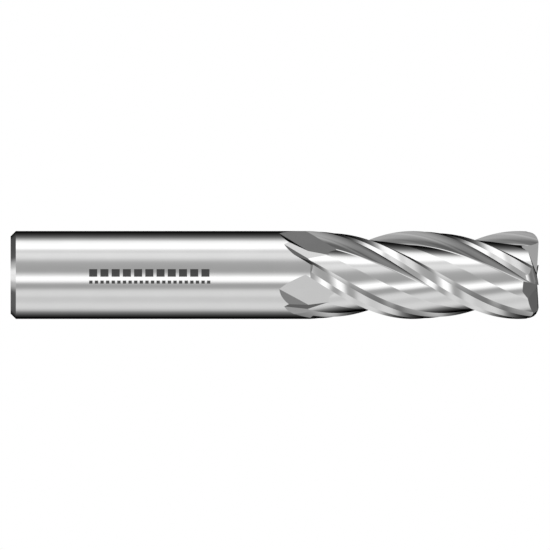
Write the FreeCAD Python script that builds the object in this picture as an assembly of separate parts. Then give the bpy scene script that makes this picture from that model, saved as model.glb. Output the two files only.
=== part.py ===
"""Four-flute end mill with a corner radius, ground from one carbide rod.

The tool lies along +X: the rear face of the shank is at X = 0 and the cutting end at X = LENGTH.
The rod's axis is the X axis and +Z is up.  Angles called "ahead" are measured about +X from a
cutting edge, in the direction the tool turns when it cuts.
"""

import FreeCAD
import Part
import math
import os

# Overall sizes, millimetres.
DIAMETER = 12.7
LENGTH = 76.2
RADIUS = DIAMETER / 2.0
REAR_CHAMFER = 0.762
CORNER_RADIUS = 1.524
BACK_TAPER = 0.01
FLUTES = 4

# Helix: right-hand, with the first cutting edge at TIP_ANGLE degrees (from +Y toward +Z) at the tip.
LEAD = 61.2
TIP_ANGLE = 107.05

# Stations along the axis.
RUNOUT_START = 38.1
RELIEF_START = 43.28
FLUTE_START = 48.5
END_START = 72.9

# Cross-section of one tooth and its flute: (fraction of RADIUS, degrees ahead of the cutting edge).
EDGE = (1.0, 0.0)
RAKE_MID = (0.835, -1.2)
RAKE_FOOT = (0.676, 7.1)
FLOOR_SPLIT = (0.779, 37.4)
HEEL_FOOT = (0.865, 64.4)
HEEL = (0.951, 70.1)
SECOND_LAND_MID = (0.962, 76.2)
LAND_BREAK = (0.985, 82.2)
FIRST_LAND_MID = (0.9904, 86.1)
FLOOR_RADIUS = 0.86
HEEL_FLOOR_RADIUS = 0.955
WEB = FLOOR_SPLIT[0]
WEB_SEAT = (WEB, 65.0)
PITCH = 360.0 / FLUTES

# Flute run-out: flat faces left where the grinding wheels lift out of the rod.
# Each wheel leaves a notch of two faces that meet at a corner on the rod's surface.
# A corner is (X, degrees ahead); a face is (tilt toward the tip, degrees ahead of its normal).
# These angles count from the first cutting edge at WHEEL_LIFT.  The second face of a notch ends
# at SECOND_FACE_END, and the first relief land starts on a slope RELIEF_SLOPE deep.
WHEEL_LIFT = 47.1
SECOND_FACE_END = 45.0
RELIEF_SLOPE = 1.2
RELIEF_SLOPE_LENGTH = 1.5
FLOOR_CORNER = (38.79, -7.2)
FLOOR_FACES = ((12.6, 6.9), (23.5, -9.4))
HEEL_CORNER = (39.49, 19.8)
HEEL_FACES = ((11.3, 35.0), (23.4, 8.7))

# End teeth.
DISH = 3.0
END_RELIEF = 8.0
END_RELIEF_WIDTH = 0.75
END_CLEARANCE = 19.8
GASH_ANGLE = 24.3
GASH_RAKE = 8.6
GASH_FLOOR_WIDTH = 1.12
GASH_WALL = 32.0
LONG_GASH_DROP = 0.25
CORNER_RELIEF = 8.0
CORNER_RELIEF_WIDTH = 0.72
CORNER_CLEARANCE = 20.0

# How far the solids that stand for ground-away material run past the rod.
BIG = 60.0
OVERRUN = 1.0
WALL_REACH = 4.0
LAND_REACH = 1.1
INNER_HEEL = (0.94, 65.0)
CORNER_REACH = 3.0
CORNER_RUN = 7.0

AXIS = FreeCAD.Vector(1, 0, 0)
ORIGIN = FreeCAD.Vector(0, 0, 0)


def edge_angle(x):
    """Angle of the first cutting edge at station x."""
    return TIP_ANGLE - (LENGTH - x) * 360.0 / LEAD


def polar(x, radius, angle):
    """Point at station x, at a radius and an angle about the axis."""
    turn = math.radians(angle)
    return FreeCAD.Vector(x, radius * math.cos(turn), radius * math.sin(turn))


def section_point(x, mark, teeth_on=0):
    """Point of the cross-section, counted on from the first cutting edge by whole teeth."""
    return polar(x, mark[0] * RADIUS, edge_angle(x) + mark[1] + teeth_on * PITCH)


def arc(start, middle, end):
    return Part.Arc(start, middle, end).toShape()


def bulged_arc(start, end, radius):
    """Arc of a given radius from start to end, bulging away from the axis."""
    middle = (start + end) * 0.5
    half = (end - start).Length / 2.0
    rise = radius - math.sqrt(radius * radius - half * half)
    outward = AXIS.cross(end - start).normalize()
    if outward.dot(middle - AXIS * middle.x) < 0:
        outward = outward * -1.0
    return arc(start, middle + outward * rise, end)


def sweep(edges, start, end):
    """Solid left by carrying a closed cross-section along the helix from start to end."""
    spine = Part.Wire([Part.makeLine(AXIS * start, AXIS * end)])
    guide = Part.makeHelix(LEAD, end - start, RADIUS)
    guide.rotate(ORIGIN, FreeCAD.Vector(0, 1, 0), 90)
    guide.translate(AXIS * start)
    pipe = Part.BRepOffsetAPI.MakePipeShell(spine)
    pipe.setAuxiliarySpine(Part.Wire(guide.Edges), True, 0)
    pipe.add(Part.Wire(edges), False, False)
    pipe.build()
    pipe.makeSolid()
    return pipe.shape()


def turned(shape, teeth_on):
    """Copy of a shape, turned on about the axis by whole teeth."""
    copy = shape.copy()
    copy.rotate(ORIGIN, AXIS, teeth_on * PITCH)
    return copy


def half_space(point, normal):
    """Large block whose near face passes through point, on the side the normal points to."""
    block = Part.makeBox(BIG, BIG, BIG, FreeCAD.Vector(-BIG / 2.0, -BIG / 2.0, 0))
    block.Placement = FreeCAD.Placement(point, FreeCAD.Rotation(FreeCAD.Vector(0, 0, 1), normal))
    return block


def shank():
    """Plain ground cylinder with a chamfered rear end."""
    body = Part.makeCylinder(RADIUS, RUNOUT_START - REAR_CHAMFER, AXIS * REAR_CHAMFER, AXIS)
    nose = Part.makeCone(RADIUS - REAR_CHAMFER, RADIUS, REAR_CHAMFER, ORIGIN, AXIS)
    return body.fuse(nose).removeSplitter()


def flute_waste(start, end):
    """What a full flute takes off ahead of the first rake face, carried out past the rod."""
    foot = section_point(start, HEEL_FOOT)
    split = section_point(start, FLOOR_SPLIT)
    wall_top = foot + (section_point(start, HEEL) - foot) * WALL_REACH
    top_radius = math.hypot(wall_top.y, wall_top.z)
    over_edge = polar(start, top_radius, edge_angle(start))
    over_flute = polar(start, top_radius, edge_angle(start) + FLOOR_SPLIT[1])
    edges = [
        rake_circle(start, 0).toShape(),
        bulged_arc(section_point(start, RAKE_FOOT), split, FLOOR_RADIUS * RADIUS),
        bulged_arc(split, foot, HEEL_FLOOR_RADIUS * RADIUS),
        Part.makeLine(foot, wall_top),
        arc(wall_top, over_flute, over_edge),
        Part.makeLine(over_edge, section_point(start, EDGE)),
    ]
    return sweep(edges, start, end)


def wheel_notch(corner, faces, waste):
    """Notch in the first flute that one grinding wheel leaves where it lifts out of the rod."""
    reference = edge_angle(WHEEL_LIFT)
    point = polar(corner[0], RADIUS, reference + corner[1])
    blocks = []
    for tilt, ahead in faces:
        normal = polar(math.sin(math.radians(tilt)), math.cos(math.radians(tilt)), reference + ahead)
        blocks.append(half_space(point, normal))
    beyond_second = blocks[1].fuse(half_space(AXIS * SECOND_FACE_END, AXIS))
    return waste.common(blocks[0]).common(beyond_second)


def land_waste(start, end):
    """What the two relief lands behind a cutting edge take off the rod, with a sloping start."""
    outer_heel = (LAND_REACH, INNER_HEEL[1])
    outer_middle = (LAND_REACH, (INNER_HEEL[1] + PITCH) / 2.0)
    outer_edge = (LAND_REACH, PITCH)
    edges = [
        Part.makeLine(section_point(start, outer_edge), section_point(start, EDGE, 1)),
        arc(
            section_point(start, EDGE, 1),
            section_point(start, FIRST_LAND_MID),
            section_point(start, LAND_BREAK),
        ),
        arc(
            section_point(start, LAND_BREAK),
            section_point(start, SECOND_LAND_MID),
            section_point(start, HEEL),
        ),
        Part.makeLine(section_point(start, HEEL), section_point(start, INNER_HEEL)),
        Part.makeLine(section_point(start, INNER_HEEL), section_point(start, outer_heel)),
        arc(
            section_point(start, outer_heel),
            section_point(start, outer_middle),
            section_point(start, outer_edge),
        ),
    ]
    slope = Part.makeCone(
        RADIUS, RADIUS - RELIEF_SLOPE, RELIEF_SLOPE_LENGTH, AXIS * RELIEF_START, AXIS
    )
    return sweep(edges, start, end).cut(slope)


def flute_runout():
    """Length of rod where the flutes die out: flat wheel faces, rake face and first relief lands."""
    length = FLUTE_START - RUNOUT_START
    body = Part.makeCone(RADIUS - BACK_TAPER, RADIUS, length, AXIS * RUNOUT_START, AXIS)
    waste = flute_waste(RUNOUT_START - OVERRUN, FLUTE_START + OVERRUN)
    floor_notch = wheel_notch(FLOOR_CORNER, FLOOR_FACES, waste)
    heel_notch = wheel_notch(HEEL_CORNER, HEEL_FACES, waste)
    lands = land_waste(RELIEF_START, FLUTE_START + OVERRUN)
    for number in range(FLUTES):
        body = body.cut(turned(floor_notch, number))
        body = body.cut(turned(heel_notch, number))
        body = body.cut(turned(lands, number))
    return body


def web(start, end):
    """Core of the fluted length: four flute floors, with the teeth's seats between them."""
    edges = []
    for number in range(FLUTES):
        foot = section_point(start, RAKE_FOOT, number)
        split = section_point(start, FLOOR_SPLIT, number)
        seat_middle = section_point(start, WEB_SEAT, number)
        seat_end = rake_seat_point(start, number + 1)
        edges.append(bulged_arc(foot, split, FLOOR_RADIUS * RADIUS))
        edges.append(arc(split, seat_middle, seat_end))
        edges.append(lower_rake(start, number + 1))
    return sweep(edges, start, end)


def rake_circle(x, number):
    """Circle the concave rake face follows in the cross-section."""
    return Part.Arc(
        section_point(x, EDGE, number),
        section_point(x, RAKE_MID, number),
        section_point(x, RAKE_FOOT, number),
    )


def rake_seat_point(x, number):
    """Point of the rake face at the web's radius."""
    rake = rake_circle(x, number)
    low = rake.FirstParameter
    high = rake.LastParameter
    for _ in range(60):
        middle = (low + high) / 2.0
        point = rake.value(middle)
        if math.hypot(point.y, point.z) > WEB * RADIUS:
            low = middle
        else:
            high = middle
    return rake.value((low + high) / 2.0)


def part_of_rake(x, number, upper):
    """The rake face above or below the web's radius, as one arc."""
    rake = rake_circle(x, number)
    seat = rake.parameter(rake_seat_point(x, number))
    if upper:
        first, last = rake.FirstParameter, seat
    else:
        first, last = seat, rake.LastParameter
    return arc(rake.value(first), rake.value((first + last) / 2.0), rake.value(last))


def lower_rake(x, number):
    return part_of_rake(x, number, False)


def tooth(start, end):
    """One helical tooth standing on the web: rake face, two relief lands, heel and heel floor."""
    seat = rake_seat_point(start, 0)
    split = section_point(start, FLOOR_SPLIT, -1)
    edges = [
        part_of_rake(start, 0, True),
        arc(split, section_point(start, WEB_SEAT, -1), seat),
        bulged_arc(split, section_point(start, HEEL_FOOT, -1), HEEL_FLOOR_RADIUS * RADIUS),
        Part.makeLine(section_point(start, HEEL_FOOT, -1), section_point(start, HEEL, -1)),
        arc(
            section_point(start, HEEL, -1),
            section_point(start, SECOND_LAND_MID, -1),
            section_point(start, LAND_BREAK, -1),
        ),
        arc(
            section_point(start, LAND_BREAK, -1),
            section_point(start, FIRST_LAND_MID, -1),
            section_point(start, EDGE),
        ),
    ]
    return sweep(Part.__sortEdges__(edges), start, end)


def end_axes(number):
    """Directions of an end tooth: outward along its edge, and back over its relief."""
    angle = TIP_ANGLE + number * PITCH
    return polar(0, 1, angle), polar(0, 1, angle - 90.0)


def edge_root():
    """Where the dished end edges would meet the axis."""
    flat = LENGTH - CORNER_RADIUS + CORNER_RADIUS / math.cos(math.radians(DISH))
    return AXIS * (flat - math.tan(math.radians(DISH)) * (RADIUS - CORNER_RADIUS))


def plane_normal(along, slope_direction, slope_angle):
    """Normal of the plane holding a line and falling at an angle in a direction across it."""
    fall = slope_direction - AXIS * math.tan(math.radians(slope_angle))
    normal = along.cross(fall)
    normal.normalize()
    if normal.x < 0:
        normal = normal * -1.0
    return normal


def end_edge_line(number):
    out, _ = end_axes(number)
    return out + AXIS * math.tan(math.radians(DISH))


def gash_side(number):
    """Everything in front of an end tooth's rake face."""
    _, back = end_axes(number)
    along = end_edge_line(number)
    down_face = back * math.tan(math.radians(GASH_RAKE)) - AXIS
    normal = along.cross(down_face)
    normal.normalize()
    if normal.dot(back) > 0:
        normal = normal * -1.0
    return half_space(edge_root(), normal)


def gash_hollow(number):
    """Notch in front of an end tooth: a flat floor and a sloping far wall."""
    out, back = end_axes(number)
    drop = LONG_GASH_DROP if number % 2 == 0 else 0.0
    floor_line = out - AXIS * math.tan(math.radians(GASH_ANGLE))
    root = edge_root() - AXIS * drop
    floor = half_space(root, plane_normal(floor_line, back, 0.0))
    wall_foot = root - back * GASH_FLOOR_WIDTH
    wall = half_space(wall_foot, plane_normal(floor_line, back, GASH_WALL))
    return floor.common(wall)


def end_waste(number):
    """What is ground away over the back of one end tooth, as far as the next gash behind it."""
    _, back = end_axes(number)
    along = end_edge_line(number)
    root = edge_root()
    relief = half_space(root, plane_normal(along, back, END_RELIEF))
    break_point = root + (back - AXIS * math.tan(math.radians(END_RELIEF))) * END_RELIEF_WIDTH
    clearance = half_space(break_point, plane_normal(along, back, END_CLEARANCE))
    over = relief.fuse(clearance).fuse(gash_hollow(number - 1))
    return over.common(gash_side(number - 1))


def corner_waste(number):
    """What the corner radius and its relief take off one end tooth."""
    out, back = end_axes(number)
    centre = out * (RADIUS - CORNER_RADIUS) + AXIS * (LENGTH - CORNER_RADIUS)
    diagonal = (out + AXIS) * math.sqrt(0.5)
    side = centre + out * CORNER_RADIUS
    middle = centre + diagonal * CORNER_RADIUS
    dish = math.radians(DISH)
    top = centre + (AXIS * math.cos(dish) - out * math.sin(dish)) * CORNER_RADIUS
    over_top = top + AXIS * CORNER_REACH
    over_side = side + out * CORNER_REACH
    outside = top + (AXIS + out) * CORNER_REACH
    profile = Part.Wire(
        [
            arc(side, middle, top),
            Part.makeLine(top, over_top),
            Part.makeLine(over_top, outside),
            Part.makeLine(outside, over_side),
            Part.makeLine(over_side, side),
        ]
    )
    face = Part.Face(profile)
    relief_way = back - diagonal * math.tan(math.radians(CORNER_RELIEF))
    clearance_way = back - diagonal * math.tan(math.radians(CORNER_CLEARANCE))
    front = face.copy()
    front.translate(relief_way * -1.0)
    relief = front.extrude(relief_way * CORNER_RUN)
    behind = face.copy()
    behind.translate(relief_way * CORNER_RELIEF_WIDTH)
    clearance = behind.extrude(clearance_way * CORNER_RUN)
    return relief.fuse(clearance)


def end_web():
    """Middle of the cutting end, cut by all four gashes, end reliefs and rounded corners."""
    body = web(END_START, LENGTH + OVERRUN)
    for number in range(FLUTES):
        body = body.cut(end_waste(number))
        body = body.cut(corner_waste(number))
    return body


def end_tooth(number):
    """Cutting end of one tooth: gash face, end edge, corner radius and reliefs."""
    body = turned(tooth(END_START, LENGTH + OVERRUN), number)
    body = body.cut(corner_waste(number))
    body = body.cut(end_waste(number))
    body = body.cut(end_waste(number + 1))
    return body


def only_solid(shape):
    """The one solid of a Boolean result."""
    solids = sorted(shape.Solids, key=lambda solid: solid.Volume)
    return solids[-1]


def build():
    parts = {
        "shank": shank(),
        "flute_runout": flute_runout(),
        "web": web(FLUTE_START, END_START),
        "end_web": end_web(),
    }
    side_tooth = tooth(FLUTE_START, END_START)
    for number in range(FLUTES):
        parts["tooth_%d" % (number + 1)] = turned(side_tooth, number)
        parts["end_tooth_%d" % (number + 1)] = end_tooth(number)
    return parts


def main():
    os.makedirs("parts", exist_ok=True)
    for name, shape in build().items():
        solid = only_solid(shape)
        print(name, len(shape.Solids), solid.isValid(), round(solid.Volume, 3))
        solid.exportStep("parts/%s.step" % name)


main()
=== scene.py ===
"""Looks of the four-flute end mill: bright ground carbide in a soft studio.

Lengths in the geometry section are millimetres, and each finished piece is scaled to metres.
Angles called "ahead" are degrees about +X from a cutting edge, the way the tool turns to cut.
"""

import bpy
import bmesh
import math
from mathutils import Matrix, Vector


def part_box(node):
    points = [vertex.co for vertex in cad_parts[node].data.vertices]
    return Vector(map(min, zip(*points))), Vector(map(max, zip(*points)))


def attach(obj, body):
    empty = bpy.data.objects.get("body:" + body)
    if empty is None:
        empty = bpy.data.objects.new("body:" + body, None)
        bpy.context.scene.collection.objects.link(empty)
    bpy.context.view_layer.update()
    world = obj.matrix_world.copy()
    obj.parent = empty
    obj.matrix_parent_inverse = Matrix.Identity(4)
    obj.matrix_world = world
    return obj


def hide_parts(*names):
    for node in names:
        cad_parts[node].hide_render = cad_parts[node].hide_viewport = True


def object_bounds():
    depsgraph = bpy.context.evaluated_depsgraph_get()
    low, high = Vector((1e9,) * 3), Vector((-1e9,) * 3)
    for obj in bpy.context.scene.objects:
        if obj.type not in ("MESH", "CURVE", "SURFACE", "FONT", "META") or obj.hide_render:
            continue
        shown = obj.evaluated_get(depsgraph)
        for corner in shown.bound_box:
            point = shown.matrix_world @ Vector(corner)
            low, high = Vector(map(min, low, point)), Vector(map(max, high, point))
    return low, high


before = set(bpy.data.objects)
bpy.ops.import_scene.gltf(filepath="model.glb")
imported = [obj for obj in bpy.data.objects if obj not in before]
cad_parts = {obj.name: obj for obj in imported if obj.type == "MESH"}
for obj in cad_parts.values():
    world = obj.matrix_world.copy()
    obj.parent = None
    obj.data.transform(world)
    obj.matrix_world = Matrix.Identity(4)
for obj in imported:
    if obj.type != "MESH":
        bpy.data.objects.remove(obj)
cad_low, cad_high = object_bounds()
scene = bpy.context.scene

MM = 0.001
TEETH = 4
PITCH = 360.0 / TEETH

# Sizes read from the frame.
LENGTH = cad_high.x / MM
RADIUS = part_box("shank")[1].z / MM
RUNOUT_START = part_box("shank")[1].x / MM
FLUTE_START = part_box("flute_runout")[1].x / MM
END_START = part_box("end_web")[0].x / MM

# Helix and cross-section: marks are (fraction of RADIUS, degrees ahead of the cutting edge).
LEAD = 61.2
TIP_ANGLE = 107.05
REAR_CHAMFER = 0.762
CORNER_RADIUS = 1.524
RELIEF_START = 43.28
WHEEL_LIFT = 47.1
EDGE = (1.0, 0.0)
RAKE_MID = (0.835, -1.2)
RAKE_FOOT = (0.676, 7.1)
FLOOR_SPLIT = (0.779, 37.4)
HEEL_FOOT = (0.865, 64.4)
HEEL = (0.951, 70.1)
SECOND_LAND_MID = (0.962, 76.2)
LAND_BREAK = (0.985, 82.2)
FIRST_LAND_MID = (0.9904, 86.1)
FLOOR_RADIUS = 0.86
HEEL_FLOOR_RADIUS = 0.955
WEB = FLOOR_SPLIT[0]
WEB_SEAT = (WEB, 65.0)
FOOT_FILLET = 0.13

# Flute run-out notches: a corner is (X, degrees ahead), a face (tilt, degrees ahead of its normal),
# both counted from the edge at WHEEL_LIFT.  The second face of a notch ends at SECOND_FACE_END.
FLOOR_CORNER = (38.79, -7.2)
FLOOR_FACES = ((12.6, 6.9), (23.5, -9.4))
HEEL_CORNER = (39.49, 19.8)
HEEL_FACES = ((11.3, 35.0), (23.4, 8.7))
SECOND_FACE_END = 45.0
RELIEF_SLOPE = 1.2
RELIEF_SLOPE_LENGTH = 1.5

# End teeth.
DISH = 3.0
END_RELIEF = 8.0
END_RELIEF_WIDTH = 0.75
END_CLEARANCE = 19.8
GASH_ANGLE = 24.3
GASH_RAKE = 8.6
GASH_FLOOR_WIDTH = 1.12
GASH_WALL = 32.0
LONG_GASH_DROP = 0.25
CORNER_RELIEF = 8.0
CORNER_RELIEF_WIDTH = 0.72
CORNER_CLEARANCE = 20.0

# How far the solids that stand for ground-away material run past the rod.
BIG = 60.0
OVERRUN = 1.0
WALL_REACH = 4.0
LAND_REACH = 1.1
INNER_HEEL = (0.94, 65.0)
CORNER_REACH = 3.0
CORNER_RUN = 7.0

# Fineness: mm along the helix, degrees along an arc, sides of a round, points of a rounded corner.
STEP = 0.25
FINE_TURN = 2.5
SIDES = 360
CONE_SIDES = 240
CORNER_TURNS = 24

# Marks on faces that aren't helical: turned about the axis, or flat.
TURNED = -2
FLAT = -1

AXIS = Vector((1, 0, 0))


# ------------------------------------------------------------------ cross-section
class Stretch:
    """One stretch of a cross-section: its points, and what its normals point from."""

    def __init__(self, points, centre=None):
        self.points = points
        self.centre = centre
        self.inward = False
        if centre is not None:
            way = points[-1] - points[0]
            away = points[len(points) // 2] - centre
            self.inward = way.y * away.x - way.x * away.y < 0


def mark_point(mark, teeth_on=0):
    turn = math.radians(mark[1] + teeth_on * PITCH)
    return Vector((mark[0] * RADIUS * math.cos(turn), mark[0] * RADIUS * math.sin(turn)))


def circle_centre(a, b, c):
    """Centre of the circle through three points."""
    u = b - a
    v = c - a
    scale = 2.0 * (u.x * v.y - u.y * v.x)
    x = (v.y * u.length_squared - u.y * v.length_squared) / scale
    y = (u.x * v.length_squared - v.x * u.length_squared) / scale
    return a + Vector((x, y))


def arc(a, b, c):
    """Arc from a through b to c."""
    centre = circle_centre(a, b, c)
    first = a - centre
    last = c - centre
    radius = first.length
    low = math.atan2(first.y, first.x)
    middle = (math.atan2(b.y - centre.y, b.x - centre.x) - low) % (2 * math.pi)
    turn = (math.atan2(last.y, last.x) - low) % (2 * math.pi)
    if middle > turn:
        turn -= 2 * math.pi
    count = max(2, math.ceil(abs(math.degrees(turn)) / FINE_TURN))
    points = []
    for index in range(count + 1):
        angle = low + turn * index / count
        points.append(centre + Vector((math.cos(angle), math.sin(angle))) * radius)
    points[0] = a.copy()
    points[-1] = c.copy()
    return Stretch(points, centre)


def straight(a, b):
    return Stretch([a.copy(), b.copy()])


def bulged(a, c, radius):
    """Arc of a given radius from a to c, bulging away from the axis."""
    middle = (a + c) / 2.0
    half = (c - a).length / 2.0
    rise = radius - math.sqrt(radius * radius - half * half)
    out = Vector((c.y - a.y, a.x - c.x)).normalized()
    if out.dot(middle) < 0:
        out = -out
    return arc(a, middle + out * rise, c)


def rake(first, last):
    """Stretch of the rake face of the tooth at 0 degrees, between two shares of its arc."""
    whole = arc(mark_point(EDGE), mark_point(RAKE_MID), mark_point(RAKE_FOOT))
    centre = whole.centre
    start = whole.points[0] - centre
    end = whole.points[-1] - centre
    low = math.atan2(start.y, start.x)
    turn = (math.atan2(end.y, end.x) - low + math.pi) % (2 * math.pi) - math.pi

    def at(share):
        angle = low + turn * share
        return centre + Vector((math.cos(angle), math.sin(angle))) * start.length

    return arc(at(first), at((first + last) / 2.0), at(last))


def rake_seat_share():
    """Share of the rake arc, from the cutting edge, at which it reaches the web's radius."""
    low = 0.0
    high = 1.0
    for _ in range(50):
        middle = (low + high) / 2.0
        if rake(middle / 2.0, middle).points[-1].length > WEB * RADIUS:
            low = middle
        else:
            high = middle
    return low


def turn_stretch(stretch, teeth_on):
    turn = Matrix.Rotation(math.radians(teeth_on * PITCH), 2)
    points = [turn @ point for point in stretch.points]
    centre = None if stretch.centre is None else turn @ stretch.centre
    return Stretch(points, centre)


def foot_fillet(rake_stretch, floor_stretch):
    """Small arc in the corner between the rake face and the flute's floor."""
    corner = rake_stretch.points[-1]
    back = (rake_stretch.points[-2] - corner).normalized()
    on = (floor_stretch.points[1] - corner).normalized()
    first = corner + back * FOOT_FILLET
    last = corner + on * FOOT_FILLET
    half = back.angle(on) / 2.0
    radius = FOOT_FILLET * math.tan(half)
    towards = (back + on).normalized()
    centre = corner + towards * (radius / math.sin(half))
    return arc(first, centre - towards * radius, last)


SEAT = rake_seat_share()


def tooth_outline():
    """Outline of the first tooth above the web, in the direction of increasing angle."""
    upper = rake(0.0, SEAT)
    split = mark_point(FLOOR_SPLIT, -1)
    foot = mark_point(HEEL_FOOT, -1)
    heel = mark_point(HEEL, -1)
    land_break = mark_point(LAND_BREAK, -1)
    return [
        bulged(split, foot, HEEL_FLOOR_RADIUS * RADIUS),
        straight(foot, heel),
        arc(heel, mark_point(SECOND_LAND_MID, -1), land_break),
        arc(land_break, mark_point(FIRST_LAND_MID, -1), mark_point(EDGE)),
        upper,
        arc(upper.points[-1], mark_point(WEB_SEAT, -1), split),
    ]


def web_outline():
    """Outline of the web: floors, seats under the teeth and the feet of the rake faces."""
    lower = rake(SEAT, 1.0)
    plain_floor = bulged(mark_point(RAKE_FOOT), mark_point(FLOOR_SPLIT), FLOOR_RADIUS * RADIUS)
    fillet = foot_fillet(lower, plain_floor)
    lower = arc(lower.points[0], lower.points[len(lower.points) // 2], fillet.points[0])
    floor = bulged(fillet.points[-1], mark_point(FLOOR_SPLIT), FLOOR_RADIUS * RADIUS)
    seat = arc(mark_point(FLOOR_SPLIT), mark_point(WEB_SEAT), turn_stretch(lower, 1).points[0])
    stretches = []
    for number in range(TEETH):
        for stretch in (fillet, floor, seat, turn_stretch(lower, 1)):
            stretches.append(turn_stretch(stretch, number))
    return stretches


def flute_waste_outline():
    """What a full flute takes off the rod ahead of the first rake face, out past its surface."""
    foot = mark_point(HEEL_FOOT)
    split = mark_point(FLOOR_SPLIT)
    wall_top = foot + (mark_point(HEEL) - foot) * WALL_REACH
    top_share = wall_top.length / RADIUS
    over_edge = mark_point((top_share, 0.0))
    over_flute = mark_point((top_share, FLOOR_SPLIT[1]))
    face = rake(0.0, 1.0)
    floor = bulged(mark_point(RAKE_FOOT), split, FLOOR_RADIUS * RADIUS)
    fillet = foot_fillet(face, floor)
    return [
        arc(face.points[0], face.points[len(face.points) // 2], fillet.points[0]),
        fillet,
        bulged(fillet.points[-1], split, FLOOR_RADIUS * RADIUS),
        bulged(split, foot, HEEL_FLOOR_RADIUS * RADIUS),
        straight(foot, wall_top),
        arc(wall_top, over_flute, over_edge),
        straight(over_edge, mark_point(EDGE)),
    ]


def land_waste_outline():
    """What the two relief lands behind a cutting edge take off the rod."""
    inner_heel = mark_point(INNER_HEEL)
    outer_heel = mark_point((LAND_REACH, INNER_HEEL[1]))
    outer_middle = mark_point((LAND_REACH, (INNER_HEEL[1] + PITCH) / 2.0))
    outer_edge = mark_point((LAND_REACH, PITCH))
    return [
        straight(outer_edge, mark_point(EDGE, 1)),
        arc(mark_point(EDGE, 1), mark_point(FIRST_LAND_MID), mark_point(LAND_BREAK)),
        arc(mark_point(LAND_BREAK), mark_point(SECOND_LAND_MID), mark_point(HEEL)),
        straight(mark_point(HEEL), inner_heel),
        straight(inner_heel, outer_heel),
        arc(outer_heel, outer_middle, outer_edge),
    ]


# ------------------------------------------------------------------ solids
stretch_book = []


def edge_angle(x):
    """Angle of the first cutting edge at station x."""
    return TIP_ANGLE - (LENGTH - x) * 360.0 / LEAD


def polar(x, radius, angle):
    turn = math.radians(angle)
    return Vector((x, radius * math.cos(turn), radius * math.sin(turn)))


def new_object(bm, name):
    bmesh.ops.recalc_face_normals(bm, faces=bm.faces)
    if bm.calc_volume(signed=True) < 0:
        bmesh.ops.reverse_faces(bm, faces=bm.faces)
    mesh = bpy.data.meshes.new(name)
    bm.to_mesh(mesh)
    bm.free()
    obj = bpy.data.objects.new(name, mesh)
    scene.collection.objects.link(obj)
    return obj


def swept(outline, start, end, teeth_on=0):
    """Solid left by carrying an outline along the helix, its faces marked with their stretch."""
    bm = bmesh.new()
    mark = bm.faces.layers.int.new("stretch")
    owners = []
    points = []
    for stretch in outline:
        stretch_book.append((stretch, teeth_on))
        for point in stretch.points[:-1]:
            points.append(point)
            owners.append(len(stretch_book) - 1)
    count = max(1, math.ceil((end - start) / STEP))
    rings = []
    for index in range(count + 1):
        x = start + (end - start) * index / count
        turn = Matrix.Rotation(math.radians(edge_angle(x) + teeth_on * PITCH), 2)
        ring = []
        for point in points:
            placed = turn @ point
            ring.append(bm.verts.new((x, placed.x, placed.y)))
        rings.append(ring)
    for near, far in zip(rings, rings[1:]):
        for index, owner in enumerate(owners):
            on = (index + 1) % len(points)
            for corners in ((near[index], near[on], far[on]), (near[index], far[on], far[index])):
                bm.faces.new(corners)[mark] = owner
    for ring in (rings[0], rings[-1]):
        cap = bm.faces.new(ring)
        cap[mark] = FLAT
    bmesh.ops.triangulate(bm, faces=[face for face in bm.faces if len(face.verts) > 4])
    return new_object(bm, "swept")


def half_space(point, normal):
    """Large block whose near face passes through point, on the side the normal points to."""
    bm = bmesh.new()
    mark = bm.faces.layers.int.new("stretch")
    bmesh.ops.create_cube(bm, size=BIG)
    for face in bm.faces:
        face[mark] = FLAT
    place = normal.to_track_quat("Z", "Y").to_matrix().to_4x4()
    place.translation = point + normal.normalized() * (BIG / 2.0)
    bm.transform(place)
    return new_object(bm, "half_space")


def revolved(profile, segments=CONE_SIDES):
    """Solid of revolution about the X axis, from (x, radius) points."""
    bm = bmesh.new()
    mark = bm.faces.layers.int.new("stretch")
    rings = []
    for x, radius in profile:
        ring = []
        for index in range(segments):
            ring.append(bm.verts.new(polar(x, radius, 360.0 * index / segments)))
        rings.append(ring)
    for level, (near, far) in enumerate(zip(rings, rings[1:])):
        level_turned = abs(profile[level][1] - profile[level + 1][1]) < 0.02
        for index in range(segments):
            on = (index + 1) % segments
            face = bm.faces.new((near[index], near[on], far[on], far[index]))
            face[mark] = TURNED if level_turned else FLAT
    for ring in (rings[0], rings[-1]):
        bm.faces.new(ring)[mark] = FLAT
    return new_object(bm, "revolved")


def prism(profile, along):
    """Solid left by carrying a flat profile straight along a vector."""
    bm = bmesh.new()
    mark = bm.faces.layers.int.new("stretch")
    near = [bm.verts.new(point) for point in profile]
    far = [bm.verts.new(point + along) for point in profile]
    bm.faces.new(near)
    bm.faces.new(far)
    for index in range(len(profile)):
        on = (index + 1) % len(profile)
        bm.faces.new((near[index], near[on], far[on], far[index]))
    for face in bm.faces:
        face[mark] = FLAT
    return new_object(bm, "prism")


def combine(body, tool, operation):
    """Boolean of two solids, left in body."""
    modifier = body.modifiers.new("combine", "BOOLEAN")
    modifier.operation = operation
    modifier.solver = "MANIFOLD"
    modifier.object = tool
    graph = bpy.context.evaluated_depsgraph_get()
    mesh = bpy.data.meshes.new_from_object(body.evaluated_get(graph), depsgraph=graph)
    body.modifiers.clear()
    old = body.data
    body.data = mesh
    bpy.data.meshes.remove(old)
    drop(tool)
    return body


def drop(obj):
    mesh = obj.data
    bpy.data.objects.remove(obj)
    bpy.data.meshes.remove(mesh)


# ------------------------------------------------------------------ shank and run-out
def shank():
    """Plain ground cylinder with a chamfered rear end."""
    profile = [(0.0, RADIUS - REAR_CHAMFER), (REAR_CHAMFER, RADIUS), (RUNOUT_START, RADIUS)]
    return revolved(profile, SIDES)


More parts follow.
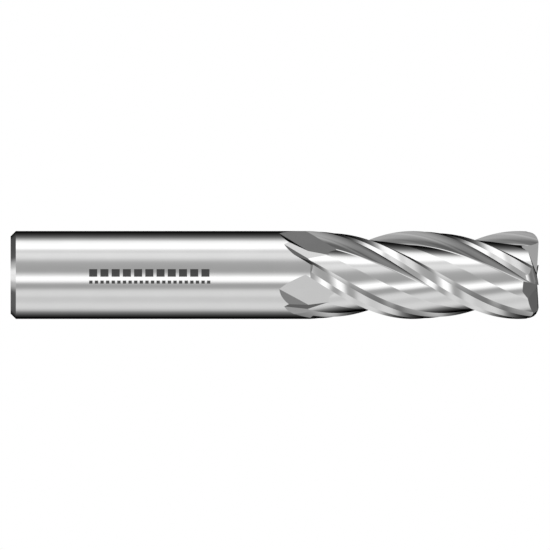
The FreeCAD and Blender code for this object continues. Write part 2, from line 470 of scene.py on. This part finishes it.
def wheel_notch(corner, faces, teeth_on):
    """Notch that one grinding wheel leaves ahead of a rake face where it lifts out."""
    reference = edge_angle(WHEEL_LIFT) + teeth_on * PITCH
    point = polar(corner[0], RADIUS, reference + corner[1])
    blocks = []
    for tilt, ahead in faces:
        normal = polar(math.sin(math.radians(tilt)), math.cos(math.radians(tilt)), reference + ahead)
        blocks.append(half_space(point, normal))
    combine(blocks[1], half_space(AXIS * SECOND_FACE_END, AXIS), "UNION")
    waste = swept(flute_waste_outline(), RUNOUT_START - OVERRUN, FLUTE_START + OVERRUN, teeth_on)
    combine(waste, blocks[0], "INTERSECT")
    return combine(waste, blocks[1], "INTERSECT")


def land_waste(teeth_on):
    """What the relief lands take off the run-out, starting on a slope."""
    body = swept(land_waste_outline(), RELIEF_START, FLUTE_START + OVERRUN, teeth_on)
    slope_end = RELIEF_START + RELIEF_SLOPE_LENGTH
    cone = revolved([(RELIEF_START - 0.01, RADIUS), (slope_end, RADIUS - RELIEF_SLOPE)])
    return combine(body, cone, "DIFFERENCE")


def flute_runout():
    """Length of rod where the flutes die out."""
    body = revolved([(RUNOUT_START, RADIUS), (FLUTE_START, RADIUS)], SIDES)
    for number in range(TEETH):
        combine(body, wheel_notch(FLOOR_CORNER, FLOOR_FACES, number), "DIFFERENCE")
        combine(body, wheel_notch(HEEL_CORNER, HEEL_FACES, number), "DIFFERENCE")
        combine(body, land_waste(number), "DIFFERENCE")
    return body


# ------------------------------------------------------------------ cutting end
def end_axes(number):
    """Directions of an end tooth: outward along its edge, and back over its relief."""
    angle = TIP_ANGLE + number * PITCH
    return polar(0, 1, angle), polar(0, 1, angle - 90.0)


def edge_root():
    """Where the dished end edges would meet the axis."""
    flat = LENGTH - CORNER_RADIUS + CORNER_RADIUS / math.cos(math.radians(DISH))
    return AXIS * (flat - math.tan(math.radians(DISH)) * (RADIUS - CORNER_RADIUS))


def plane_normal(along, slope_direction, slope_angle):
    fall = slope_direction - AXIS * math.tan(math.radians(slope_angle))
    normal = along.cross(fall).normalized()
    return -normal if normal.x < 0 else normal


def end_edge_line(number):
    return end_axes(number)[0] + AXIS * math.tan(math.radians(DISH))


def gash_side(number):
    """Everything in front of an end tooth's rake face."""
    back = end_axes(number)[1]
    down_face = back * math.tan(math.radians(GASH_RAKE)) - AXIS
    normal = end_edge_line(number).cross(down_face).normalized()
    if normal.dot(back) > 0:
        normal = -normal
    return half_space(edge_root(), normal)


def gash_hollow(number):
    """Notch in front of an end tooth: a flat floor and a sloping far wall."""
    out, back = end_axes(number)
    drop_by = LONG_GASH_DROP if number % 2 == 0 else 0.0
    floor_line = out - AXIS * math.tan(math.radians(GASH_ANGLE))
    root = edge_root() - AXIS * drop_by
    floor = half_space(root, plane_normal(floor_line, back, 0.0))
    wall_foot = root - back * GASH_FLOOR_WIDTH
    wall = half_space(wall_foot, plane_normal(floor_line, back, GASH_WALL))
    return combine(floor, wall, "INTERSECT")


def end_waste(number):
    """What is ground away over the back of one end tooth, as far as the next gash behind it."""
    back = end_axes(number)[1]
    along = end_edge_line(number)
    root = edge_root()
    over = half_space(root, plane_normal(along, back, END_RELIEF))
    break_point = root + (back - AXIS * math.tan(math.radians(END_RELIEF))) * END_RELIEF_WIDTH
    clearance = half_space(break_point, plane_normal(along, back, END_CLEARANCE))
    combine(over, clearance, "UNION")
    combine(over, gash_hollow(number - 1), "UNION")
    return combine(over, gash_side(number - 1), "INTERSECT")


def corner_profile(number):
    """Space outside the rounded corner of one end tooth, in the plane of its edge."""
    out = end_axes(number)[0]
    centre = out * (RADIUS - CORNER_RADIUS) + AXIS * (LENGTH - CORNER_RADIUS)
    profile = []
    for index in range(CORNER_TURNS + 1):
        angle = math.radians((90.0 + DISH) * index / CORNER_TURNS)
        profile.append(centre + (out * math.cos(angle) + AXIS * math.sin(angle)) * CORNER_RADIUS)
    profile.append(profile[-1] + AXIS * CORNER_REACH)
    profile.append(profile[-1] + out * (2 * CORNER_REACH))
    profile.append(profile[0] + out * CORNER_REACH)
    return profile


def corner_waste(number):
    """What the corner radius and its relief take off one end tooth."""
    out, back = end_axes(number)
    diagonal = (out + AXIS) * math.sqrt(0.5)
    relief_way = back - diagonal * math.tan(math.radians(CORNER_RELIEF))
    clearance_way = back - diagonal * math.tan(math.radians(CORNER_CLEARANCE))
    profile = corner_profile(number)
    relief = prism([point - relief_way for point in profile], relief_way * (CORNER_RUN + 1.0))
    start = relief_way * CORNER_RELIEF_WIDTH
    clearance = prism([point + start for point in profile], clearance_way * CORNER_RUN)
    return combine(relief, clearance, "UNION")


def end_web():
    """Middle of the cutting end, cut by all four gashes, end reliefs and rounded corners."""
    body = swept(web_outline(), END_START, LENGTH + OVERRUN)
    for number in range(TEETH):
        combine(body, end_waste(number), "DIFFERENCE")
        combine(body, corner_waste(number), "DIFFERENCE")
    return body


def end_tooth(number):
    """Cutting end of one tooth: gash face, end edge, corner radius and reliefs."""
    body = swept(tooth_outline(), END_START, LENGTH + OVERRUN, number)
    combine(body, corner_waste(number), "DIFFERENCE")
    combine(body, end_waste(number), "DIFFERENCE")
    return combine(body, end_waste(number + 1), "DIFFERENCE")


# ------------------------------------------------------------------ finishing a piece
def swept_normal(place, owner):
    """True normal of a helical face at a point on it."""
    stretch, teeth_on = stretch_book[owner]
    turn = Matrix.Rotation(math.radians(edge_angle(place.x) + teeth_on * PITCH), 2)
    flat = Vector((place.y, place.z))
    if stretch.centre is None:
        way = stretch.points[1] - stretch.points[0]
        out = Vector((way.y, -way.x)).normalized()
    else:
        out = (turn.inverted() @ flat - stretch.centre).normalized()
        if stretch.inward:
            out = -out
    out = turn @ out
    rate = 2.0 * math.pi / LEAD
    return Vector((-rate * (flat.x * out.y - flat.y * out.x), out.x, out.y)).normalized()


def drop_crumbs(obj):
    """Take away the tiny loose solids that Booleans leave beside the piece itself."""
    bm = bmesh.new()
    bm.from_mesh(obj.data)
    left = set(bm.verts)
    islands = []
    while left:
        front = [left.pop()]
        island = list(front)
        while front:
            vert = front.pop()
            for edge in vert.link_edges:
                other = edge.other_vert(vert)
                if other in left:
                    left.discard(other)
                    island.append(other)
                    front.append(other)
        islands.append(island)
    islands.sort(key=len)
    for island in islands[:-1]:
        bmesh.ops.delete(bm, geom=island, context="VERTS")
    bm.to_mesh(obj.data)
    bm.free()


def finish(obj, name, nodes, material):
    """Turn a solid into a finished piece: true normals, metres, body, slot and material."""
    drop_crumbs(obj)
    mesh = obj.data
    obj.name = name
    mesh.name = name
    marks = mesh.attributes["stretch"].data
    normals = []
    for polygon in mesh.polygons:
        polygon.use_smooth = True
        owner = marks[polygon.index].value
        for corner in polygon.loop_indices:
            place = mesh.vertices[mesh.loops[corner].vertex_index].co
            normal = polygon.normal
            if owner >= 0:
                normal = swept_normal(place, owner)
            elif owner == TURNED:
                normal = Vector((0.0, place.y, place.z)).normalized()
            if normal.dot(polygon.normal) < 0:
                normal = -normal
            normals.append(normal)
    mesh.transform(Matrix.Scale(MM, 4))
    mesh.normals_split_custom_set(normals)
    mesh.materials.clear()
    mesh.materials.append(material)
    obj.visible_glossy = False
    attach(obj, "root")
    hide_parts(*nodes)
    return obj


# ------------------------------------------------------------------ shader helpers
def math_node(tree, operation, *values):
    node = tree.nodes.new("ShaderNodeMath")
    node.operation = operation
    for slot, value in enumerate(values):
        if isinstance(value, (int, float)):
            node.inputs[slot].default_value = value
        else:
            tree.links.new(value, node.inputs[slot])
    return node.outputs[0]


def ramp_node(tree, value, low, high, out_low=0.0, out_high=1.0, smooth=True):
    node = tree.nodes.new("ShaderNodeMapRange")
    if smooth:
        node.interpolation_type = "SMOOTHSTEP"
    tree.links.new(value, node.inputs["Value"])
    node.inputs["From Min"].default_value = low
    node.inputs["From Max"].default_value = high
    node.inputs["To Min"].default_value = out_low
    node.inputs["To Max"].default_value = out_high
    return node.outputs["Result"]


def combine_node(tree, x, y, z):
    node = tree.nodes.new("ShaderNodeCombineXYZ")
    for slot, value in enumerate((x, y, z)):
        if isinstance(value, (int, float)):
            node.inputs[slot].default_value = value
        else:
            tree.links.new(value, node.inputs[slot])
    return node.outputs[0]


def noise_node(tree, vector, detail=2.0):
    node = tree.nodes.new("ShaderNodeTexNoise")
    tree.links.new(vector, node.inputs["Vector"])
    node.inputs["Scale"].default_value = 1.0
    node.inputs["Detail"].default_value = detail
    return node.outputs["Fac"]


# ------------------------------------------------------------------ ground carbide
# Width and length of a grinding line on the shank, mm.
TURNED_LINE = (0.09, 4.0)
# Fineness of the lines round the flutes, and their length, mm.
HELICAL_FINENESS = 60.0
HELICAL_LENGTH = 6.0
# Depth of every line, in metres, the width of the worn edges with their painted highlight, and the
# polish clouds' size, mm.
LINE_DEPTH = 0.08e-6
WORN_EDGE_AND_HIGHLIGHT = 0.06
CLOUD_LENGTH = 5.0
CLOUD_WIDTH = 3.0

# Plain laser mark, mm: ends along the shank, pitch of the blocks, and the two rows' heights.
MARK_ENDS = (11.3, 28.85)
MARK_PITCH = 1.62
MARK_BLOCKS = (-0.25, 0.85)
MARK_DASHES = (-1.25, -0.8)


def object_axes(tree):
    coords = tree.nodes.new("ShaderNodeTexCoord")
    split = tree.nodes.new("ShaderNodeSeparateXYZ")
    tree.links.new(coords.outputs["Object"], split.inputs[0])
    return split.outputs["X"], split.outputs["Y"], split.outputs["Z"]


def turned_lines(tree):
    """Fine grinding lines that run round the shank."""
    x, y, z = object_axes(tree)
    width, length = TURNED_LINE
    across = math_node(tree, "MULTIPLY", x, 1.0 / (width * MM))
    round_y = math_node(tree, "MULTIPLY", y, 1.0 / (length * MM))
    round_z = math_node(tree, "MULTIPLY", z, 1.0 / (length * MM))
    return noise_node(tree, combine_node(tree, across, round_y, round_z))


def helical_lines(tree):
    """Fine grinding lines that run along the flutes and lands."""
    x, y, z = object_axes(tree)
    turn = math_node(tree, "ARCTAN2", z, y)
    twist = math_node(tree, "MULTIPLY_ADD", x, -2.0 * math.pi / (LEAD * MM), turn)
    sine = math_node(tree, "MULTIPLY", math_node(tree, "SINE", twist), HELICAL_FINENESS)
    cosine = math_node(tree, "MULTIPLY", math_node(tree, "COSINE", twist), HELICAL_FINENESS)
    along = math_node(tree, "MULTIPLY", x, 1.0 / (HELICAL_LENGTH * MM))
    return noise_node(tree, combine_node(tree, along, sine, cosine))


def ground_metal(name, lines, mark=None):
    """Bright ground carbide: grinding lines, uneven polish, and edges worn and brightened with a
    painted edge highlight.
    """
    material = bpy.data.materials.new(name)
    material.use_nodes = True
    tree = material.node_tree
    shader = tree.nodes["Principled BSDF"]
    shader.inputs["Metallic"].default_value = 1.0
    grain = lines(tree)
    bump = tree.nodes.new("ShaderNodeBump")
    bump.inputs["Strength"].default_value = 1.0
    bump.inputs["Distance"].default_value = LINE_DEPTH
    tree.links.new(grain, bump.inputs["Height"])
    tree.links.new(bump.outputs["Normal"], shader.inputs["Normal"])

    x, y, z = object_axes(tree)
    cloud = noise_node(tree, combine_node(
        tree,
        math_node(tree, "MULTIPLY", x, 1.0 / (CLOUD_LENGTH * MM)),
        math_node(tree, "MULTIPLY", y, 1.0 / (CLOUD_WIDTH * MM)),
        math_node(tree, "MULTIPLY", z, 1.0 / (CLOUD_WIDTH * MM)),
    ))
    rough = ramp_node(tree, math_node(tree, "MULTIPLY_ADD", grain, 0.5, cloud), 0.4, 1.1, 0.05, 0.11)

    bevel = tree.nodes.new("ShaderNodeBevel")
    bevel.samples = 4
    bevel.inputs["Radius"].default_value = WORN_EDGE_AND_HIGHLIGHT * MM
    geometry = tree.nodes.new("ShaderNodeNewGeometry")
    match = tree.nodes.new("ShaderNodeVectorMath")
    match.operation = "DOT_PRODUCT"
    tree.links.new(bevel.outputs["Normal"], match.inputs[0])
    tree.links.new(geometry.outputs["Normal"], match.inputs[1])
    edge = ramp_node(tree, match.outputs["Value"], 0.999, 0.93)
    # The edge mask raises the tone along every edge: wear, and a painted edge highlight.
    tone = ramp_node(tree, math_node(tree, "MULTIPLY_ADD", edge, 0.5, cloud), 0.2, 1.2, 0.90, 0.97)
    if mark is not None:
        etched = mark(tree)
        keep = math_node(tree, "SUBTRACT", 1.0, math_node(tree, "MULTIPLY", etched, 0.86))
        tone = math_node(tree, "MULTIPLY", tone, keep)
        rough = math_node(tree, "MULTIPLY_ADD", etched, 0.35, rough)
    rough = math_node(tree, "MULTIPLY_ADD", edge, 0.05, rough)
    tree.links.new(rough, shader.inputs["Roughness"])
    colour = combine_node(tree, tone, tone, math_node(tree, "MULTIPLY", tone, 0.998))
    tree.links.new(colour, shader.inputs["Base Color"])
    return material


def within(tree, value, low, high):
    """1 where a coordinate lies between two places given in mm, and 0 elsewhere."""
    above = math_node(tree, "GREATER_THAN", value, low * MM)
    below = math_node(tree, "LESS_THAN", value, high * MM)
    return math_node(tree, "MULTIPLY", above, below)


def plain_mark(tree):
    """Laser mark with no words: a row of plain blocks over a row of fine dashes."""
    x, y, z = object_axes(tree)
    front = math_node(tree, "LESS_THAN", y, 0.0)
    blocks = math_node(tree, "FRACT", math_node(tree, "DIVIDE", x, MARK_PITCH * MM))
    blocks = math_node(tree, "LESS_THAN", blocks, 0.72)
    upper = math_node(tree, "MULTIPLY", within(tree, z, *MARK_BLOCKS), blocks)
    dashes = math_node(tree, "FRACT", math_node(tree, "DIVIDE", x, MARK_PITCH / 2.0 * MM))
    dashes = math_node(tree, "LESS_THAN", dashes, 0.6)
    lower = math_node(tree, "MULTIPLY", within(tree, z, *MARK_DASHES), dashes)
    rows = math_node(tree, "ADD", upper, lower)
    span = within(tree, x, *MARK_ENDS)
    return math_node(tree, "MULTIPLY", math_node(tree, "MULTIPLY", rows, span), front)


# ------------------------------------------------------------------ studio
# Brightness round the tool: (degrees from the front, upwards, about the tool's axis; level).
RING = (
    (-180, 0.01), (-145, 0.01), (-122, 0.13), (-103, 0.52), (-90, 0.65), (-66, 0.57), (-50, 0.66),
    (-38, 0.50), (-28, 0.35), (-22, 0.50), (-15, 0.93), (-9, 1.05), (-3, 0.85), (5, 0.50), (13, 0.35),
    (28, 0.37), (40, 0.54), (56, 0.73), (64, 0.66), (78, 1.05), (90, 1.00), (108, 0.42), (128, 0.06),
    (145, 0.01), (180, 0.01),
)
RING_GAIN = 1.08
RING_TOP = 1.2

# Toward each end of the tool the bands fade, over these shares of the direction, to a plainer level.
SIDE_RING = 0.13
TIP_SIDE = (0.30, 0.75)
TIP_SIDE_LEVEL = 0.14
SHANK_SIDE = (0.20, 0.52)
SHANK_SIDE_LEVEL = 0.07
SHANK_SIDE_BELOW = 0.08
# Straight behind the tool it rises again, less so for directions that lean away from the front.
REAR_LEAN = 1.2
REAR_SIDE = (0.68, 0.95)
REAR_LEVEL = 0.42
REAR_LAMP = (0.94, 0.99)
REAR_LAMP_LEVEL = 0.4

# Camera: width of the view and place of its middle, over the tool's length; distance in metres.
VIEW_WIDTH = 1.0417
VIEW_MIDDLE = 0.5008
VIEW_DISTANCE = 0.5

# Paper floor: half its side in metres, its grey, and its own glow, which makes it pale.
FLOOR_HALF = 2.0
FLOOR_GREY = 0.85
FLOOR_GLOW = 0.66


def studio():
    """Soft bands of light round the tool, on white paper."""
    world = bpy.data.worlds.new("studio")
    scene.world = world
    world.use_nodes = True
    tree = world.node_tree
    tree.nodes.clear()
    out = tree.nodes.new("ShaderNodeOutputWorld")
    coords = tree.nodes.new("ShaderNodeTexCoord")
    split = tree.nodes.new("ShaderNodeSeparateXYZ")
    tree.links.new(coords.outputs["Generated"], split.inputs[0])
    toward = math_node(tree, "MULTIPLY", split.outputs["Y"], -1.0)
    angle = math_node(tree, "ARCTAN2", split.outputs["Z"], toward)
    turn = math_node(tree, "MULTIPLY_ADD", angle, 0.5 / math.pi, 0.5)
    curve = tree.nodes.new("ShaderNodeFloatCurve")
    tree.links.new(turn, curve.inputs["Value"])
    points = curve.mapping.curves[0].points
    for index, (degrees, level) in enumerate(RING):
        place = ((degrees + 180.0) / 360.0, level / RING_TOP)
        if index < 2:
            points[index].location = place
        else:
            points.new(*place)
    curve.mapping.update()
    ring = math_node(tree, "MULTIPLY", curve.outputs["Value"], RING_TOP * RING_GAIN)
    behind = math_node(tree, "MULTIPLY", split.outputs["X"], -1.0)
    tip_share = ramp_node(tree, split.outputs["X"], *TIP_SIDE)
    shank_share = ramp_node(tree, behind, *SHANK_SIDE)
    below = ramp_node(tree, split.outputs["Z"], -0.3, -0.8, 0.0, SHANK_SIDE_BELOW)
    away = math_node(tree, "MAXIMUM", split.outputs["Y"], 0.0)
    rear = math_node(tree, "MULTIPLY_ADD", away, -REAR_LEAN, behind)
    far = ramp_node(tree, rear, *REAR_SIDE, SHANK_SIDE_LEVEL, REAR_LEVEL)
    lamp = ramp_node(tree, rear, *REAR_LAMP, 0.0, REAR_LAMP_LEVEL)
    shank_side = math_node(tree, "ADD", math_node(tree, "ADD", below, far), lamp)
    shank_side = math_node(tree, "MULTIPLY", shank_side, shank_share)
    tip_side = math_node(tree, "MULTIPLY", tip_share, TIP_SIDE_LEVEL)
    shares = math_node(tree, "ADD", tip_share, shank_share)
    left = math_node(tree, "MULTIPLY_ADD", shares, SIDE_RING - 1.0, 1.0)
    level = math_node(tree, "MULTIPLY", ring, left)
    level = math_node(tree, "ADD", math_node(tree, "ADD", level, tip_side), shank_side)
    glow = tree.nodes.new("ShaderNodeBackground")
    glow.inputs["Color"].default_value = (1, 1, 1, 1)
    tree.links.new(level, glow.inputs["Strength"])
    paper = tree.nodes.new("ShaderNodeBackground")
    paper.inputs["Color"].default_value = (1, 1, 1, 1)
    paper.inputs["Strength"].default_value = 1.0
    paths = tree.nodes.new("ShaderNodeLightPath")
    mix = tree.nodes.new("ShaderNodeMixShader")
    tree.links.new(paths.outputs["Is Camera Ray"], mix.inputs[0])
    tree.links.new(glow.outputs[0], mix.inputs[1])
    tree.links.new(paper.outputs[0], mix.inputs[2])
    tree.links.new(mix.outputs[0], out.inputs["Surface"])


def camera():
    """Square-on side view, parallel projection, tip to the right."""
    view = bpy.data.cameras.new("camera")
    view.type = "ORTHO"
    view.ortho_scale = LENGTH * MM * VIEW_WIDTH
    view.clip_end = 10.0
    obj = bpy.data.objects.new("camera", view)
    obj.location = (VIEW_MIDDLE * LENGTH * MM, -VIEW_DISTANCE, 0.0)
    obj.rotation_euler = (math.radians(90), 0, 0)
    scene.collection.objects.link(obj)
    scene.camera = obj


def floor():
    """Pale paper floor under the tool, left out of its reflections."""
    half = FLOOR_HALF
    z = cad_low.z
    mesh = bpy.data.meshes.new("floor")
    corners = [(-half, -half, z), (half, -half, z), (half, half, z), (-half, half, z)]
    mesh.from_pydata(corners, [], [(0, 1, 2, 3)])
    obj = bpy.data.objects.new("floor", mesh)
    scene.collection.objects.link(obj)
    material = bpy.data.materials.new("floor_paper")
    material.use_nodes = True
    shader = material.node_tree.nodes["Principled BSDF"]
    shader.inputs["Base Color"].default_value = (FLOOR_GREY, FLOOR_GREY, FLOOR_GREY, 1)
    shader.inputs["Roughness"].default_value = 0.9
    shader.inputs["Specular IOR Level"].default_value = 0.0
    shader.inputs["Emission Color"].default_value = (1, 1, 1, 1)
    shader.inputs["Emission Strength"].default_value = FLOOR_GLOW
    mesh.materials.append(material)
    obj.visible_glossy = False


# ------------------------------------------------------------------ the object
def build():
    ring_ground = ground_metal("carbide_round_ground", turned_lines, plain_mark)
    flute_ground = ground_metal("carbide_flute_ground", helical_lines)
    finish(shank(), "shank_ground", ["shank"], ring_ground)
    finish(flute_runout(), "flute_runout_ground", ["flute_runout"], flute_ground)
    core = swept(web_outline(), FLUTE_START, END_START)
    finish(core, "web_ground", ["web"], flute_ground)
    finish(end_web(), "end_web_ground", ["end_web"], flute_ground)
    for number in range(TEETH):
        tooth_node = "tooth_" + str(number + 1)
        end_node = "end_" + tooth_node
        side = swept(tooth_outline(), FLUTE_START, END_START, number)
        finish(side, tooth_node + "_ground", [tooth_node], flute_ground)
        end = end_tooth(number)
        finish(end, end_node + "_ground", [end_node], flute_ground)


scene.view_settings.view_transform = "Standard"
camera()
build()
studio()
floor()
